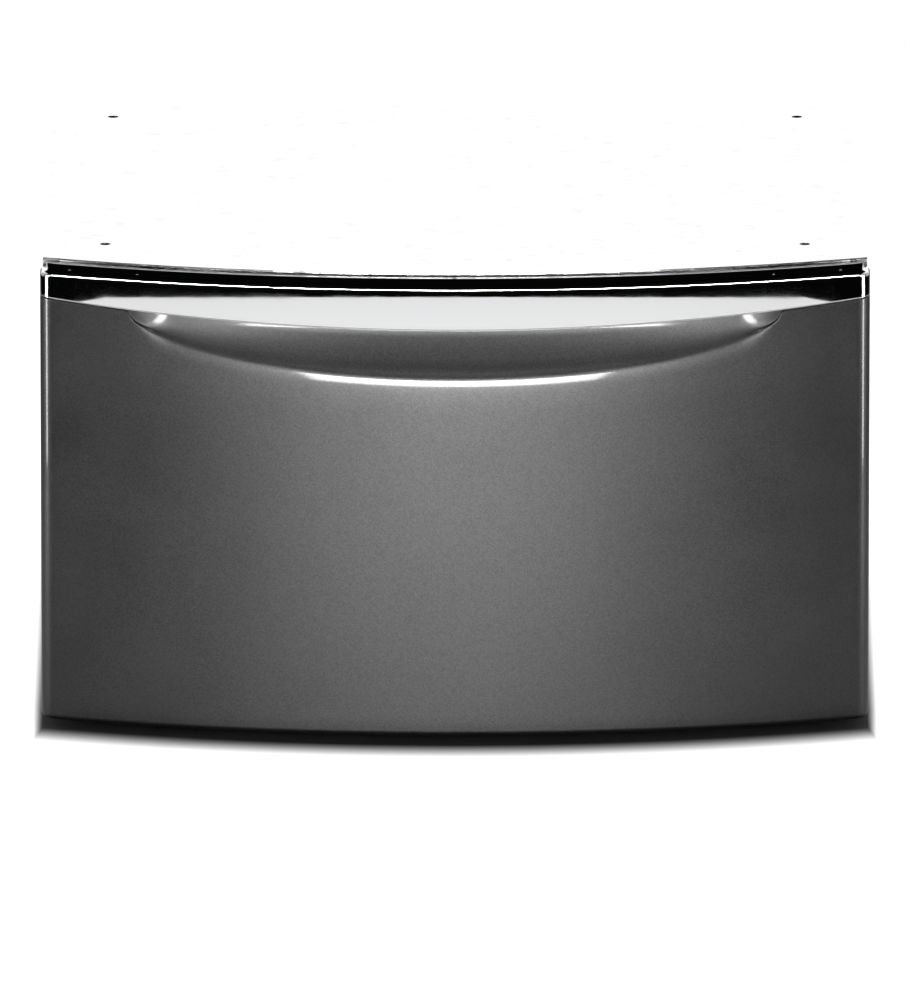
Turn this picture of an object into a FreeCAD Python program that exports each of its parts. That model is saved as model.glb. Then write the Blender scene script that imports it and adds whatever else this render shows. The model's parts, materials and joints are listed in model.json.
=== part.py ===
import FreeCAD, Part
import math
import os
import re
import Sketcher

# Laundry pedestal: a low steel cabinet that a front load washing machine stands on, with one wide
# storage drawer behind a bowed front.
#
# Frame: +Z up, the front looks along -Y, and +X is to the right of someone who faces the front.
# The origin is under the middle of the whole object, on the floor.
# Everything is in millimetres.

SIZES = {
    # whole object
    "overall_width": 686, "overall_depth": 673, "overall_height": 394,
    # how far cutting blocks run past what they cut
    "cut_step": 5, "cut_past": 20,
    # sheet metal
    "sheet": 1, "front_sheet": 1.2, "rail_sheet": 1.2, "deck_sheet": 1.5, "fit_gap": 0.1,
    # bowed front
    "bow_rise": 60, "front_return": 26.5, "front_bottom": 8, "corner_radius": 16, "bottom_roll": 8,
    "front_gap": 4,
    # handle trim along the top edge of the front
    "trim_top": 391.5, "trim_wall": 2.5, "trim_depth": 30, "trim_edge_radius": 4,
    "trim_middle": 352, "trim_dip": 15.5,
    # finger scoop under the trim
    "scoop_half_width": 270, "scoop_half_height": 48, "scoop_centre": 362, "scoop_depth": 22,
    # cabinet
    "cabinet_width": 682, "cabinet_bottom": 12, "flange": 14, "screw_head": 2, "deck_flange": 20,
    "deck_gap": 3, "rail_depth": 20, "rail_height": 32, "brace_centre": 150, "brace_width": 40,
    "brace_height": 20, "flange_gap": 1,
    # bolt holes in the deck for the machine
    "bolt_row": 580, "bolt_column": 480, "bolt_middle": 44, "bolt_hole": 9,
    # screws and rivets
    "screw_head_radius": 4, "screw_radius": 2, "screw_length": 7, "front_screw_side": 250,
    "front_screw_low": 90, "front_screw_high": 290, "trim_screw_outer": 318,
    "trim_screw_inner": 262, "trim_screw_back": 14, "trim_screw_drop": 6.3,
    "rear_screw_middle": 200, "rear_screw_pitch": 120, "rivet_head_radius": 3, "rivet_head": 1,
    "rivet_radius": 1.6, "rivet_length": 3.5,
    # drawer box
    "box_half_width": 313.3, "box_bottom": 50, "box_top": 330, "box_back": 288, "box_lip": 8,
    "divider_place": 20, "divider_sheet": 1.2, "divider_gap": 0.5, "divider_drop": 12,
    "grip_half": 50, "grip_low": 50, "grip_high": 28, "guide_width": 12, "guide_depth": 6,
    "guide_drop": 20,
    # slides
    "slide_height": 150, "slide_front": -240, "slide_length": 550, "slide_thick": 12.7,
    "member_sheet": 1.2, "ball": 3.2, "race_gap": 3.3, "outer_half": 22.5, "outer_wide": 10,
    "middle_back": 3, "middle_wide": 8, "inner_wide": 7.2, "cage_length": 240, "cage_forward": 60,
    "cage_outer_place": 6, "cage_inner_place": 4.4, "strip_wide": 4, "strip_thick": 0.8,
    "bracket_half": 40, "bracket_step": 12,
    # release levers
    "lever_length": 50, "lever_thick": 2.8, "lever_half": 3.5, "lever_pin": 3, "lever_place": -40,
    "pin_head": 0.6,
    # levelling feet
    "foot_side": 300, "foot_front": -194, "foot_rear": 282, "pad_diameter": 44, "pad_height": 10,
    "stud_diameter": 10, "stud_fit": 0.1, "stud_top": 48, "collar_flats": 14, "collar_height": 4,
    "nut_flats": 17, "nut_height": 5.8, "foot_plate": 24, "foot_plate_thick": 3,
    "foot_plate_length": 60, "foot_wall": 40, "weld_nut": 22, "weld_nut_height": 8,
    "pad_chamfer": 1.5, "pad_shoulder": 4, "pad_slope": 8, "stud_chamfer": 1,
    # small parts
    "bumper_diameter": 12, "bumper_height": 3.8, "bumper_low": 60, "bumper_high": 340,
    "backing_gap": 1, "backing_drop": 6, "stiffener_place": 150, "stiffener_width": 30,
    "stiffener_bottom": 30, "stiffener_height": 260,
}

BALLS_IN_A_STRIP = 8
RIVETS_ALONG = (40, 270, 510)
NEAR = 0.01

doc = FreeCAD.newDocument("laundry_pedestal")
sheet = doc.addObject("Spreadsheet::Sheet", "sizes")
for row, (alias, size) in enumerate(SIZES.items(), start=1):
    sheet.set(f"A{row}", alias)
    sheet.set(f"B{row}", str(size))
    sheet.setAlias(f"B{row}", alias)
doc.recompute()

subparts = []


# ---------------------------------------------------------------- helpers

def linked(expression):
    """The expression with every alias written as a reference to the sheet."""
    return re.sub(r"[a-z_]+", lambda word: "sizes." + word.group() if word.group() in SIZES
                  else word.group(), expression)


def amount(expression):
    """The number that an expression of aliases works out to."""
    result = sheet.evalExpression(expression)
    return float(getattr(result, "Value", result))


def keep(thing, label):
    """Names a finished sub-part and puts it on the list of what is written."""
    thing.Label = label
    subparts.append(thing)
    return thing


def new_body(name):
    return doc.addObject("PartDesign::Body", name)


def new_sketch(body, plane, start):
    """Sketch on an origin plane of the body, moved along that plane's axis to start."""
    sketch = body.newObject("Sketcher::SketchObject", body.Name + "_sketch")
    support = [item for item in body.Origin.OriginFeatures if item.Role == plane + "_Plane"][0]
    sketch.AttachmentSupport = [(support, "")]
    sketch.MapMode = "FlatFace"
    towards = "-1 * " if plane == "XZ" else ""
    sketch.setExpression("AttachmentOffset.Base.z", linked(f"{towards}({start})"))
    return sketch


def tie(sketch, kind, places, expression):
    """Adds a sized constraint and binds it to the sheet."""
    index = sketch.addConstraint(Sketcher.Constraint(kind, *places, amount(expression)))
    sketch.setExpression(f"Constraints[{index}]", linked(expression))


def tie_point(sketch, line, end, across, up):
    """Fixes one point of the sketch by its two distances from the sketch's origin."""
    for kind, expression, axis in (("DistanceX", across, -2), ("DistanceY", up, -1)):
        if abs(amount(expression)) < 1e-9:
            sketch.addConstraint(Sketcher.Constraint("PointOnObject", line, end, axis))
        else:
            tie(sketch, kind, (-1, 1, line, end), expression)


def polygon(sketch, corners):
    """Closed outline through corners, each an (across, up) pair of expressions."""
    points = [FreeCAD.Vector(amount(across), amount(up), 0) for across, up in corners]
    lines = [sketch.addGeometry(Part.LineSegment(first, second))
             for first, second in zip(points, points[1:] + points[:1])]
    for line, following in zip(lines, lines[1:] + lines[:1]):
        sketch.addConstraint(Sketcher.Constraint("Coincident", line, 2, following, 1))
    for line, (across, up) in zip(lines, corners):
        tie_point(sketch, line, 1, across, up)


def arched(sketch, radius, centre, half_width, far):
    """Outline with the low arc of a circle on one side and a straight side at far, parallel to
    the arc's chord. The circle's centre is on the middle line, at centre."""
    bend, middle, wide, away = (amount(value) for value in (radius, centre, half_width, far))
    lean = math.asin(wide / bend)
    end = middle - bend * math.cos(lean)
    arc = sketch.addGeometry(Part.ArcOfCircle(
        Part.Circle(FreeCAD.Vector(0, middle, 0), FreeCAD.Vector(0, 0, 1), bend),
        -math.pi / 2 - lean, -math.pi / 2 + lean))
    corners = [FreeCAD.Vector(*pair, 0) for pair in ((wide, end), (wide, away), (-wide, away),
                                                      (-wide, end))]
    right, back, left = [sketch.addGeometry(Part.LineSegment(first, second))
                         for first, second in zip(corners, corners[1:])]
    for line, following in ((arc, right), (right, back), (back, left), (left, arc)):
        sketch.addConstraint(Sketcher.Constraint("Coincident", line, 2, following, 1))
    for line in (left, right):
        sketch.addConstraint(Sketcher.Constraint("Vertical", line))
    sketch.addConstraint(Sketcher.Constraint("Horizontal", back))
    sketch.addConstraint(Sketcher.Constraint("PointOnObject", arc, 3, -2))
    tie(sketch, "Radius", (arc,), radius)
    tie(sketch, "DistanceY", (-1, 1, arc, 3), centre)
    tie(sketch, "DistanceX", (-1, 1, right, 1), half_width)
    tie(sketch, "DistanceX", (-1, 1, left, 1), f"-({half_width})")
    tie(sketch, "DistanceY", (-1, 1, back, 1), far)


def circles(sketch, centres, diameter):
    for across, up in centres:
        middle = FreeCAD.Vector(amount(across), amount(up), 0)
        ring = sketch.addGeometry(Part.Circle(middle, FreeCAD.Vector(0, 0, 1),
                                              amount(diameter) / 2))
        tie(sketch, "Diameter", (ring,), diameter)
        tie_point(sketch, ring, 3, across, up)


def pad(body, sketch, length):
    feature = body.newObject("PartDesign::Pad", body.Name + "_pad")
    feature.Profile = sketch
    feature.setExpression("Length", linked(length))
    return feature


def pocket(body, sketch, length, reverse=False):
    """Cuts against the sketch's normal, or along it when reverse is true."""
    doc.recompute()
    before = body.Shape.Volume
    feature = body.newObject("PartDesign::Pocket", body.Name + "_pocket")
    feature.Profile = sketch
    feature.Reversed = reverse
    feature.setExpression("Length", linked(length))
    doc.recompute()
    if not body.Shape.Volume < before:
        raise RuntimeError(f"{body.Name}: a pocket cuts nothing")
    return feature


def round_edges(body, radius, wanted):
    """Fillets the edges of the body's last feature that wanted(edge) accepts."""
    doc.recompute()
    base = body.Tip
    names = [f"Edge{number}" for number, edge in enumerate(base.Shape.Edges, start=1)
             if wanted(edge)]
    feature = body.newObject("PartDesign::Fillet", body.Name + "_fillet")
    feature.Base = (base, names)
    feature.setExpression("Radius", linked(radius))
    return feature


def profile(name, plane, start, length, corners):
    """Body of one outline, padded from start along the plane's normal. The normals are +Z for
    XY, +X for YZ and -Y for XZ."""
    body = new_body(name)
    sketch = new_sketch(body, plane, start)
    polygon(sketch, corners)
    pad(body, sketch, length)
    return body


def turned(name, corners, x="0", y="0", z="0"):
    """Body of revolution about its own Z axis. corners are (radius, height) pairs."""
    body = new_body(name)
    sketch = new_sketch(body, "XZ", "0")
    polygon(sketch, corners)
    feature = body.newObject("PartDesign::Revolution", name + "_turn")
    feature.Profile = sketch
    feature.ReferenceAxis = (sketch, ["V_Axis"])
    feature.Angle = 360
    for axis, place in zip("xyz", (x, y, z)):
        body.setExpression("Placement.Base." + axis, linked(place))
    return body


def hexagon(flats):
    """Corners of a hexagon with the given distance across its flats."""
    return [(f"{math.cos(turn) / math.cos(math.pi / 6):.6f} * {flats} / 2",
             f"{math.sin(turn) / math.cos(math.pi / 6):.6f} * {flats} / 2")
            for turn in (math.radians(30 + 60 * side) for side in range(6))]


def rectangle(left, right, low, high):
    return [(left, low), (right, low), (right, high), (left, high)]


def mirrored(source, label):
    """The opposite-hand copy of a left sub-part."""
    copy = doc.addObject("Part::Mirroring", label)
    copy.Source = source
    copy.Normal = FreeCAD.Vector(1, 0, 0)
    return keep(copy, label)


def left_and_right(left, stem):
    """Keeps a left sub-part and makes its right twin."""
    keep(left, stem + "_left")
    mirrored(left, stem + "_right")


def combine(kind, name, pieces):
    """Boolean of pieces: Part::Cut takes two, Part::MultiFuse and Part::MultiCommon any number."""
    result = doc.addObject(kind, name)
    if kind == "Part::Cut":
        result.Base, result.Tool = pieces
    else:
        result.Shapes = pieces
    return result


def group(label, master, places):
    """One sub-part of identical pieces. Each place is a point and the way that the master's
    own +Z axis points there."""
    doc.recompute()
    copies = []
    for point, way in places:
        turn = FreeCAD.Rotation(FreeCAD.Vector(0, 0, 1), FreeCAD.Vector(*way))
        copy = master.Shape.copy()
        copy.Placement = FreeCAD.Placement(FreeCAD.Vector(*point), turn)
        copies.append(copy)
    result = doc.addObject("Part::Feature", label)
    result.Shape = Part.makeCompound(copies)
    result.Placement = FreeCAD.Placement()
    return keep(result, label)


# ---------------------------------------------------------------- shared places

BOW_RADIUS = "((overall_width / 2) ^ 2 / (2 * bow_rise) + bow_rise / 2)"
BOW_CENTRE = f"(-overall_depth / 2 + {BOW_RADIUS})"
FRONT_BACK = "(-overall_depth / 2 + bow_rise + front_return)"
CABINET_FRONT = f"({FRONT_BACK} + front_gap)"
CABINET_BACK = "(overall_depth / 2 - screw_head)"
SIDE = "(cabinet_width / 2)"
DIP_RADIUS = "((overall_width / 2) ^ 2 / (2 * trim_dip) + trim_dip / 2)"
DECK_UNDER = "(overall_height - deck_sheet)"
RAIL_FRONT = f"({CABINET_FRONT} + sheet + fit_gap)"
RAIL_BACK = f"({CABINET_BACK} - 2 * sheet - 2 * fit_gap)"
RAIL_HALF = f"({SIDE} - sheet - deck_sheet - 3 * fit_gap)"
FLOOR_RAIL = "(cabinet_bottom + sheet + fit_gap)"


def bow_depth(x):
    """How far behind the front's apex the bowed face lies at x."""
    radius = amount(BOW_RADIUS)
    return radius - math.sqrt(radius ** 2 - x ** 2)


# ---------------------------------------------------------------- bowed front and its trim

def bowed_block(name, inset, bottom, top, back, rolled):
    """Solid block under the bowed outline, set in from the outer face by inset, with rounded
    upright corners and, when rolled is true, a rounded lower edge."""
    body = new_body(name)
    sketch = new_sketch(body, "XY", bottom)
    half_width = f"(overall_width / 2 - ({inset}))"
    arched(sketch, f"{BOW_RADIUS} - ({inset})", BOW_CENTRE, half_width, back)
    pad(body, sketch, f"{top} - ({bottom})")
    side = amount(half_width)
    front_limit = amount(FRONT_BACK) - 1

    def upright_corner(edge):
        middle = edge.CenterOfMass
        upright = abs(edge.tangentAt(edge.FirstParameter).z) > 0.99
        return upright and abs(abs(middle.x) - side) < NEAR and middle.y < front_limit

    def lower_edge(edge):
        low = edge.BoundBox.ZMax < amount(bottom) + NEAR
        return low and edge.CenterOfMass.y < front_limit

    round_edges(body, f"corner_radius - ({inset})", upright_corner)
    if rolled:
        round_edges(body, f"bottom_roll - ({inset})", lower_edge)
    return body


def region_under_trim(name, drop):
    """Everything below the trim's curved lower edge, lowered by drop."""
    body = new_body(name)
    sketch = new_sketch(body, "XZ", "0")
    arched(sketch, DIP_RADIUS, f"trim_middle + {DIP_RADIUS} - {drop}",
           "overall_width / 2 + cut_step", "-cut_step")
    pad(body, sketch, "overall_depth")
    return body


def scoop_space(name, grow):
    """The finger scoop: the part of an elliptic cylinder that lies in front of a gentle arc."""
    sagitta = f"({BOW_RADIUS} - sqrt({BOW_RADIUS} ^ 2 - scoop_half_width ^ 2) - scoop_depth)"
    radius = f"(scoop_half_width ^ 2 / (2 * {sagitta}) + {sagitta} / 2)"
    wall = new_body(name + "_wall")
    sketch = new_sketch(wall, "XY", "trim_middle - 2 * scoop_half_height")
    arched(sketch, radius, f"-overall_depth / 2 + scoop_depth + {grow} + {radius}",
           "scoop_half_width + cut_past", "-overall_depth / 2 - cut_past")
    pad(wall, sketch, "4 * scoop_half_height")
    ellipse = doc.addObject("Part::Ellipse", name + "_outline")
    ellipse.setExpression("MajorRadius", linked(f"scoop_half_width + {grow}"))
    ellipse.setExpression("MinorRadius", linked(f"scoop_half_height + {grow}"))
    ellipse.Placement.Rotation = FreeCAD.Rotation(FreeCAD.Vector(1, 0, 0), 90)
    ellipse.setExpression("Placement.Base.z", linked("scoop_centre"))
    prism = doc.addObject("Part::Extrusion", name + "_prism")
    prism.Base = ellipse
    prism.DirMode = "Custom"
    prism.Dir = FreeCAD.Vector(0, -1, 0)
    prism.setExpression("LengthFwd", linked("overall_depth"))
    prism.Solid = True
    return combine("Part::MultiCommon", name, [wall, prism])


def make_front_panel():
    """Painted sheet: a bowed tray, open at the back, set back behind the trim and pressed in
    for the fingers. It is an outer block less an inner one, each with the same hollows."""
    top = "trim_top - trim_wall - 3 * fit_gap"
    skin = "front_sheet"
    blocks = []
    for name, inset, grow, back in (("panel_outer", "0", "0", FRONT_BACK),
                                    ("panel_inner", skin, skin, f"{FRONT_BACK} + cut_step")):
        block = bowed_block(name, inset, f"front_bottom + {inset}", f"{top} - {inset}", back, True)
        under = region_under_trim(name + "_under", f"2 * fit_gap + {grow}")
        core = bowed_block(name + "_core", f"trim_wall + fit_gap + {grow}", "front_bottom",
                           "overall_height", f"{FRONT_BACK} + 2 * cut_step", False)
        space = combine("Part::MultiFuse", name + "_space", [under, core])
        stepped = combine("Part::MultiCommon", name + "_stepped", [block, space])
        scoop = scoop_space(name + "_scoop", grow)
        blocks.append(combine("Part::Cut", name + "_scooped", [stepped, scoop]))
    keep(combine("Part::Cut", "drawer_front_panel", blocks), "drawer_front_panel")


def make_trim():
    """Chromed trim: a bowed channel whose front wall hangs lower in the middle, so that it makes
    a lip in front of the scoop."""
    low = "(trim_middle - cut_step)"
    body = bowed_block("trim_outer", "0", low, "trim_top", FRONT_BACK, False)

    def upper_edge(edge):
        high = edge.BoundBox.ZMin > amount("trim_top") - NEAR
        return high and edge.CenterOfMass.y < amount(FRONT_BACK) - 1

    round_edges(body, "trim_edge_radius", upper_edge)
    behind = new_sketch(body, "XY", low)
    arched(behind, BOW_RADIUS, f"{BOW_CENTRE} + trim_depth", "overall_width / 2 + cut_step",
           f"{FRONT_BACK} + cut_past")
    pocket(body, behind, "overall_height", reverse=True)
    below = new_sketch(body, "XZ", "0")
    arched(below, DIP_RADIUS, f"trim_middle + {DIP_RADIUS}", "overall_width / 2 + cut_step",
           "trim_middle / 2")
    pocket(body, below, "overall_depth", reverse=True)
    inside = bowed_block("trim_inner", "trim_wall", f"{low} - cut_step", "(trim_top - trim_wall)",
                         f"{FRONT_BACK} + cut_step", False)
    keep(combine("Part::Cut", "handle_trim", [body, inside]), "handle_trim")


def make_front_structure():
    """Backing sheet that closes the hollow front, two channels between it and the bowed panel,
    rubber bumpers, and the screws that hold the front and the trim."""
    half = "(overall_width / 2 - trim_wall - front_sheet - 5 * fit_gap)"
    backing = profile("front_backing", "XZ", FRONT_BACK, "sheet",
                      rectangle(f"-{half}", half, "front_bottom + bottom_roll + backing_gap",
                                "trim_top - backing_drop"))
    keep(backing, "front_backing")
    near = f"({FRONT_BACK} - sheet)"
    far = "(-overall_depth / 2 + bow_rise / 4)"
    wide = "stiffener_width / 2"
    left, right = f"(-stiffener_place - {wide})", f"(-stiffener_place + {wide})"
    channel = profile("front_stiffener", "XY", "stiffener_bottom", "stiffener_height", [
        (left, near), (left, far), (right, far), (right, near),
        (f"{right} - rail_sheet", near), (f"{right} - rail_sheet", f"{far} + rail_sheet"),
        (f"{left} + rail_sheet", f"{far} + rail_sheet"), (f"{left} + rail_sheet", near)])
    left_and_right(channel, "front_stiffener")
    bumper = turned("bumper", rectangle("0", "bumper_diameter / 2", "0", "bumper_height"))
    back = amount(FRONT_BACK)
    corners = [(side * amount(f"{SIDE} - flange / 2"), level) for side in (-1, 1)
               for level in (amount("bumper_low"), amount("bumper_high"))]
    group("drawer_bumpers", bumper, [((x, back, z), (0, 1, 0)) for x, z in corners])
    screw = turned("pan_screw", [
        ("0", "0"), ("screw_head_radius", "0"), ("screw_head_radius", "screw_head"),
        ("screw_radius", "screw_head"), ("screw_radius", "screw_length"), ("0", "screw_length")])
    inside = amount(f"{FRONT_BACK} + fit_gap + sheet + screw_head")
    across = amount("front_screw_side")
    levels = [amount("front_screw_low"), amount("front_screw_high")]
    group("front_screws", screw, [((x, inside, z), (0, -1, 0)) for x in (-across, 0, across)
                                  for z in levels])
    trim_places = []
    for x in (amount(f"{sign}trim_screw_{place}") for sign in ("-", "")
              for place in ("outer", "inner")):
        y = -amount("overall_depth / 2 - trim_screw_back") + bow_depth(x)
        trim_places.append(((x, y, amount("trim_top - trim_wall - trim_screw_drop")), (0, 0, 1)))
    group("trim_screws", screw, trim_places)
    return screw


# ---------------------------------------------------------------- cabinet

def make_side_panels():
    """Side panel: a sheet with flanges turned in at the front, the back and the bottom."""
    outer, inner, tip = f"-{SIDE}", f"(-{SIDE} + sheet)", f"(-{SIDE} + flange)"
    front, back = CABINET_FRONT, CABINET_BACK
    panel = profile("side_panel", "XY", "cabinet_bottom",
                    f"{DECK_UNDER} - fit_gap - cabinet_bottom", [
                        (outer, front), (tip, front), (tip, f"{front} + sheet"),
                        (inner, f"{front} + sheet"), (inner, f"{back} - sheet"),
                        (tip, f"{back} - sheet"), (tip, back), (outer, back)])
    foot = new_sketch(panel, "XY", "cabinet_bottom")
    polygon(foot, rectangle(outer, tip, front, back))
    pad(panel, foot, "sheet")
    left_and_right(panel, "side_panel")


def make_rear_panel(screw):
    """Rear sheet, held against the rear flanges of the sides by screws from outside."""
    back = f"({CABINET_BACK} - sheet - fit_gap)"
    half = f"({SIDE} - sheet - fit_gap)"
    panel = profile("rear_panel", "XZ", back, "sheet",
                    rectangle(f"-{half}", half, FLOOR_RAIL, f"{DECK_UNDER} - fit_gap"))
    keep(panel, "rear_panel")
    seat = amount("overall_depth / 2")
    across = amount(f"{SIDE} - flange / 2")
    levels = [amount(f"rear_screw_middle + {step} * rear_screw_pitch") for step in (-1, 0, 1)]
    group("cabinet_screws", screw, [((side * across, seat, level), (0, -1, 0))
                                    for side in (-1, 1) for level in levels])


def make_deck():
    """Top deck: a flat sheet with a bowed front edge, side flanges turned down, and a rectangle
    of four bolt holes for the machine's feet."""
    deck = new_body("top_deck")
    plate = new_sketch(deck, "XY", DECK_UNDER)
    arched(plate, BOW_RADIUS, f"{BOW_CENTRE} + trim_depth + deck_gap", SIDE, CABINET_BACK)
    pad(deck, plate, "deck_sheet")
    outer = f"({SIDE} - sheet - fit_gap)"
    for sign in ("-", ""):
        flange = new_sketch(deck, "XY", f"{DECK_UNDER} - deck_flange")
        ends = sorted((f"{sign}({outer})", f"{sign}({outer} - deck_sheet)"), key=amount)
        polygon(flange, rectangle(*ends, f"{RAIL_FRONT} + rail_depth + flange_gap",
                                  f"{RAIL_BACK} - rail_depth - flange_gap"))
        pad(deck, flange, "deck_flange")
    holes = new_sketch(deck, "XY", "overall_height")
    circles(holes, [(f"{x} * bolt_row / 2", f"bolt_middle + {y} * bolt_column / 2")
                    for x in (-1, 1) for y in (-1, 1)], "bolt_hole")
    pocket(deck, holes, "deck_sheet")
    keep(deck, "top_deck")


def make_rails():
    """Four channels across the cabinet, open towards its inside, and two braces under the deck."""
    upper = (f"({DECK_UNDER} - fit_gap - rail_height)", f"({DECK_UNDER} - fit_gap)")
    lower = (FLOOR_RAIL, f"({FLOOR_RAIL} + rail_height)")
    inward = {"front": (RAIL_FRONT, "+"), "rear": (RAIL_BACK, "-")}
    for place, (web, way) in inward.items():
        for level, (low, high) in (("upper", upper), ("lower", lower)):
            name = f"{place}_{level}_rail"
            tip = f"({web} {way} rail_depth)"
            skin = f"({web} {way} rail_sheet)"
            rail = profile(name, "YZ", f"-{RAIL_HALF}", f"2 * {RAIL_HALF}", [
                (web, low), (tip, low), (tip, f"{low} + rail_sheet"),
                (skin, f"{low} + rail_sheet"), (skin, f"{high} - rail_sheet"),
                (tip, f"{high} - rail_sheet"), (tip, high), (web, high)])
            keep(rail, name)
    start = f"({RAIL_BACK} - rail_depth - fit_gap)"
    length = f"{start} - ({RAIL_FRONT} + rail_depth + fit_gap)"
    left, right = "(-brace_centre - brace_width / 2)", "(-brace_centre + brace_width / 2)"
    low, high = f"({DECK_UNDER} - fit_gap - brace_height)", f"({DECK_UNDER} - fit_gap)"
    brace = profile("deck_brace", "XZ", start, length, [
        (left, high), (left, low), (right, low), (right, high),
        (f"{right} - rail_sheet", high), (f"{right} - rail_sheet", f"{low} + rail_sheet"),
        (f"{left} + rail_sheet", f"{low} + rail_sheet"), (f"{left} + rail_sheet", high)])
    left_and_right(brace, "deck_brace")


# ---------------------------------------------------------------- drawer box

def make_drawer_box():
    """Box of four sheets and a bottom, screwed to the front through its inner front. The top
    lips of the sides are notched where the divider lifts out."""
    outer = "-box_half_width"
    skin = "(-box_half_width + sheet)"
    front = f"({FRONT_BACK} + fit_gap)"
    side = profile("drawer_side", "XZ", "box_back", f"box_back - ({front} + sheet + fit_gap)", [
        (outer, "box_bottom"), (f"{outer} + box_lip", "box_bottom"),
        (f"{outer} + box_lip", "box_bottom + sheet"), (skin, "box_bottom + sheet"),
        (skin, "box_top - sheet"), (f"{outer} + box_lip", "box_top - sheet"),
        (f"{outer} + box_lip", "box_top"), (outer, "box_top")])
    notch = new_sketch(side, "XY", "box_top")
    polygon(notch, rectangle(skin, f"({outer} + box_lip + cut_step)",
                             "divider_place - guide_width / 2",
                             "divider_place + guide_width / 2"))
    pocket(side, notch, "sheet")
    left_and_right(side, "drawer_side")
    inner_front = profile("drawer_inner_front", "XZ", f"{front} + sheet", "sheet",
                          rectangle(outer, "box_half_width", "box_bottom", "box_top"))
    keep(inner_front, "drawer_inner_front")
    back = profile("drawer_back", "XZ", "box_back + fit_gap + sheet", "sheet",
                   rectangle(outer, "box_half_width", "box_bottom", "box_top"))
    keep(back, "drawer_back")
    half = "(box_half_width - sheet - fit_gap)"
    bottom = profile("drawer_bottom", "XY", "box_bottom + sheet + fit_gap", "sheet",
                     rectangle(f"-{half}", half, f"{front} + sheet + fit_gap",
                               "box_back"))
    keep(bottom, "drawer_bottom")


def make_divider():
    """Lift-out divider across the drawer, standing in an upright channel at each side."""
    slot = "(divider_sheet / 2 + divider_gap)"
    half = "guide_width / 2"
    wall = "(-box_half_width + sheet)"
    tip = f"({wall} + guide_depth)"
    bottom = "(box_bottom + 2 * sheet + 2 * fit_gap)"
    guide = profile("divider_guide", "XY", bottom, f"box_top - guide_drop - {bottom}", [
        (wall, f"divider_place - {half}"), (tip, f"divider_place - {half}"),
        (tip, f"divider_place - {slot}"), (f"{wall} + sheet", f"divider_place - {slot}"),
        (f"{wall} + sheet", f"divider_place + {slot}"), (tip, f"divider_place + {slot}"),
        (tip, f"divider_place + {half}"), (wall, f"divider_place + {half}")])
    left_and_right(guide, "divider_guide")
    reach = "(box_half_width - 2 * sheet - divider_gap)"
    divider = profile("drawer_divider", "XZ", "divider_place + divider_sheet / 2",
                      "divider_sheet", rectangle(f"-{reach}", reach, f"{bottom} + divider_gap",
                                                 "box_top - divider_drop"))
    grip = new_sketch(divider, "XZ", "divider_place + divider_sheet / 2")
    polygon(grip, rectangle("-grip_half", "grip_half", "box_top - grip_low",
                            "box_top - grip_high"))
    pocket(divider, grip, "divider_sheet", reverse=True)
    keep(divider, "drawer_divider")


# ---------------------------------------------------------------- slides

SLIDE_BACK = "(-box_half_width - slide_thick)"
SLIDE_END = "(slide_front + slide_length)"


def member(name, back, tip, half):
    """Slide member: a channel with its web at back and its two flanges reaching to tip."""
    way = "+" if amount(tip) > amount(back) else "-"
    web = f"({back} {way} member_sheet)"
    low, high = f"(slide_height - {half})", f"(slide_height + {half})"
    return profile(name, "XZ", SLIDE_END, "slide_length", [
        (back, low), (tip, low), (tip, f"{low} + member_sheet"), (web, f"{low} + member_sheet"),
        (web, f"{high} - member_sheet"), (tip, f"{high} - member_sheet"), (tip, high),
        (back, high)])


def ball_cage(name, race_low, across, middle):
    """Two strips with round windows, one above and one below the inner member, and the balls
    that sit in the windows. middle is the cage's centre along the slide."""
    length, radius = amount("cage_length"), amount("ball") / 2
    window = radius + amount("fit_gap") / 2
    wide, thick = amount("strip_wide"), amount("strip_thick")
    x, centre = amount(across), amount(middle)
    solids = []
    for way in (-1, 1):
        z = amount("slide_height") + way * (amount(race_low) + amount("race_gap") / 2)
        corner = FreeCAD.Vector(x - wide / 2, centre - length / 2, z - thick / 2)
        strip = Part.makeBox(wide, length, thick, corner)
        for number in range(BALLS_IN_A_STRIP):
            y = centre + length * ((number + 0.5) / BALLS_IN_A_STRIP - 0.5)
            hole = Part.makeCylinder(window, 2 * thick, FreeCAD.Vector(x, y, z - thick))
            strip = strip.cut(hole)
            solids.append(Part.makeSphere(radius, FreeCAD.Vector(x, y, z)))
        solids.append(strip)
    cage = doc.addObject("Part::Feature", name)
    cage.Shape = Part.makeCompound(solids)
    cage.Placement = FreeCAD.Placement()
    left_and_right(cage, name)


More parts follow.
